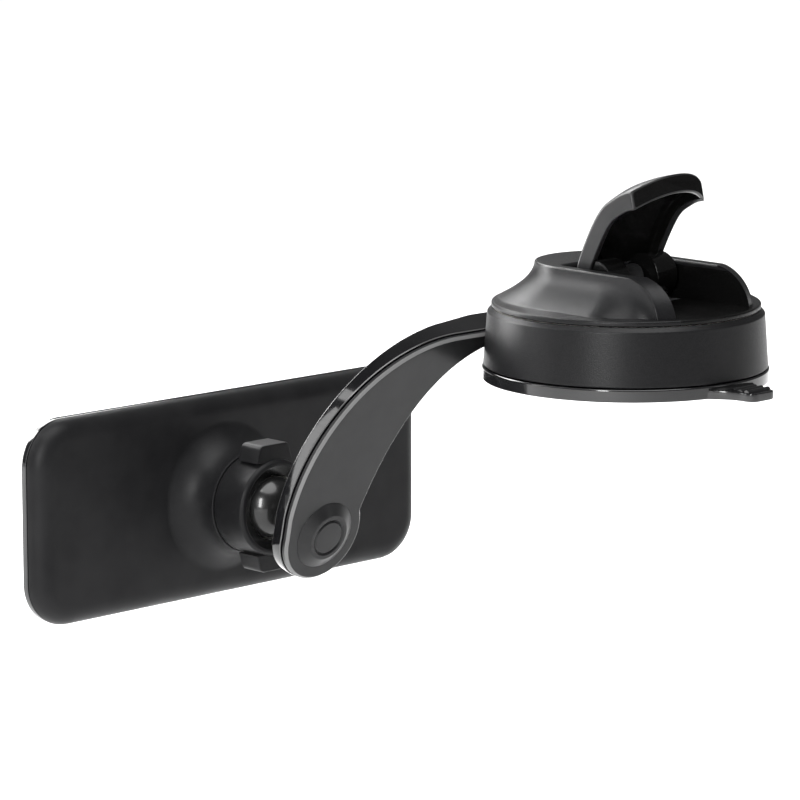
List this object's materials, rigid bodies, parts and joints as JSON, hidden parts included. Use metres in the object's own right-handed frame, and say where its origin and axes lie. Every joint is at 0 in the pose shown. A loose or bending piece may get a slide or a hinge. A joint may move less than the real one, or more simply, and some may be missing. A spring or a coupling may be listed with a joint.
{
  "type": "car phone mount",
  "caption": "Dashboard phone mount: locking suction base with a hooded lever, a curved swivelling arm, a ball joint with a winged collar nut, and a long magnetic head plate.",
  "frame": {"origin": "centre of the suction face", "axes": "+Z away from the dashboard, the arm reaches towards -X, the phone face looks along +Y"},
  "size_m": [0.1618, 0.1306, 0.1116],
  "materials": {
    "gel_pad": "glossy tacky gel, deep black",
    "textured_black": "fine spark-eroded texture, satin black",
    "satin_black": "smooth satin black",
    "piano_black": "polished piano black",
    "soft_black": "soft-touch matte black",
    "phone_pad": "matt silicone, fine grain",
    "inner_black": "moulded black, as ejected",
    "acetal": "natural acetal",
    "steel": "zinc-plated steel",
    "spring_steel": "oiled spring steel",
    "nickel": "nickel plate"
  },
  "bodies": {
    "base": {"gel_pad": "gel_pad", "core_housing": "inner_black", "friction_ring": "acetal", "hood_cap": "textured_black", "cam_plate": "steel", "stem_guide": "acetal", "release_spring": "spring_steel", "cap_screw_1": "steel", "cap_screw_2": "steel", "cap_screw_3": "steel", "cap_screw_4": "steel"},
    "plunger": {"lift_disc": "acetal", "lift_stem": "inner_black", "hinge_pin": "steel"},
    "lever": {"lever": "satin_black"},
    "arm": {"swivel_ring": "textured_black", "arm_frame": "piano_black", "arm_side_cover": "satin_black", "boss_cap": "satin_black", "stud_screw": "steel", "ball_stud": "piano_black"},
    "tilt_liner": {"liner_front": "acetal"},
    "pan_liner": {"liner_rear": "acetal"},
    "head": {"socket_core": "inner_black", "head_back_shell": "soft_black", "steel_yoke": "spring_steel", "magnet_carrier": "inner_black", "front_frame": "piano_black", "front_pad": "phone_pad", "core_screw_1": "steel", "core_screw_2": "steel", "core_screw_3": "steel", "core_screw_4": "steel", "head_screw_1": "steel", "head_screw_2": "steel", "head_screw_3": "steel", "head_screw_4": "steel", "magnet_1": "nickel", "magnet_2": "nickel", "magnet_3": "nickel", "magnet_4": "nickel", "magnet_5": "nickel", "magnet_6": "nickel", "magnet_7": "nickel", "magnet_8": "nickel"},
    "nut": {"collar_nut": "soft_black"}
  },
  "joints": [
    {"name": "plunger_lift", "type": "slide", "parent": "base", "child": "plunger", "axis": [0, 0, 1], "range_m": [0, 0.0025], "deforming": ["release_spring"]},
    {"name": "lever_turn", "type": "hinge", "parent": "plunger", "child": "lever", "pos_m": [0, 0.0015, 0.024], "axis": [1, 0, 0], "range_deg": [0, 62]},
    {"name": "arm_swivel", "type": "hinge", "parent": "base", "child": "arm", "pos_m": [0, 0, 0], "axis": [0, 0, 1], "range_deg": [-90, 90]},
    {"name": "head_tilt", "type": "hinge", "parent": "arm", "child": "tilt_liner", "pos_m": [-0.0654, 0.062, -0.0325], "axis": [1, 0, 0], "range_deg": [-18, 40]},
    {"name": "head_pan", "type": "hinge", "parent": "tilt_liner", "child": "pan_liner", "pos_m": [-0.0654, 0.062, -0.0325], "axis": [0, 0, 1], "range_deg": [-25, 25]},
    {"name": "head_roll", "type": "hinge", "parent": "pan_liner", "child": "head", "pos_m": [-0.0654, 0.062, -0.0325], "axis": [0, 1, 0], "continuous": true},
    {"name": "nut_turn", "type": "hinge", "parent": "head", "child": "nut", "pos_m": [-0.0654, 0.062, -0.0325], "axis": [0, 1, 0], "range_deg": [-180, 0]}
  ],
  "couplings": [
    {"joint": "lever_turn", "follows": "plunger_lift", "rad_per_m": 432.8}
  ]
}
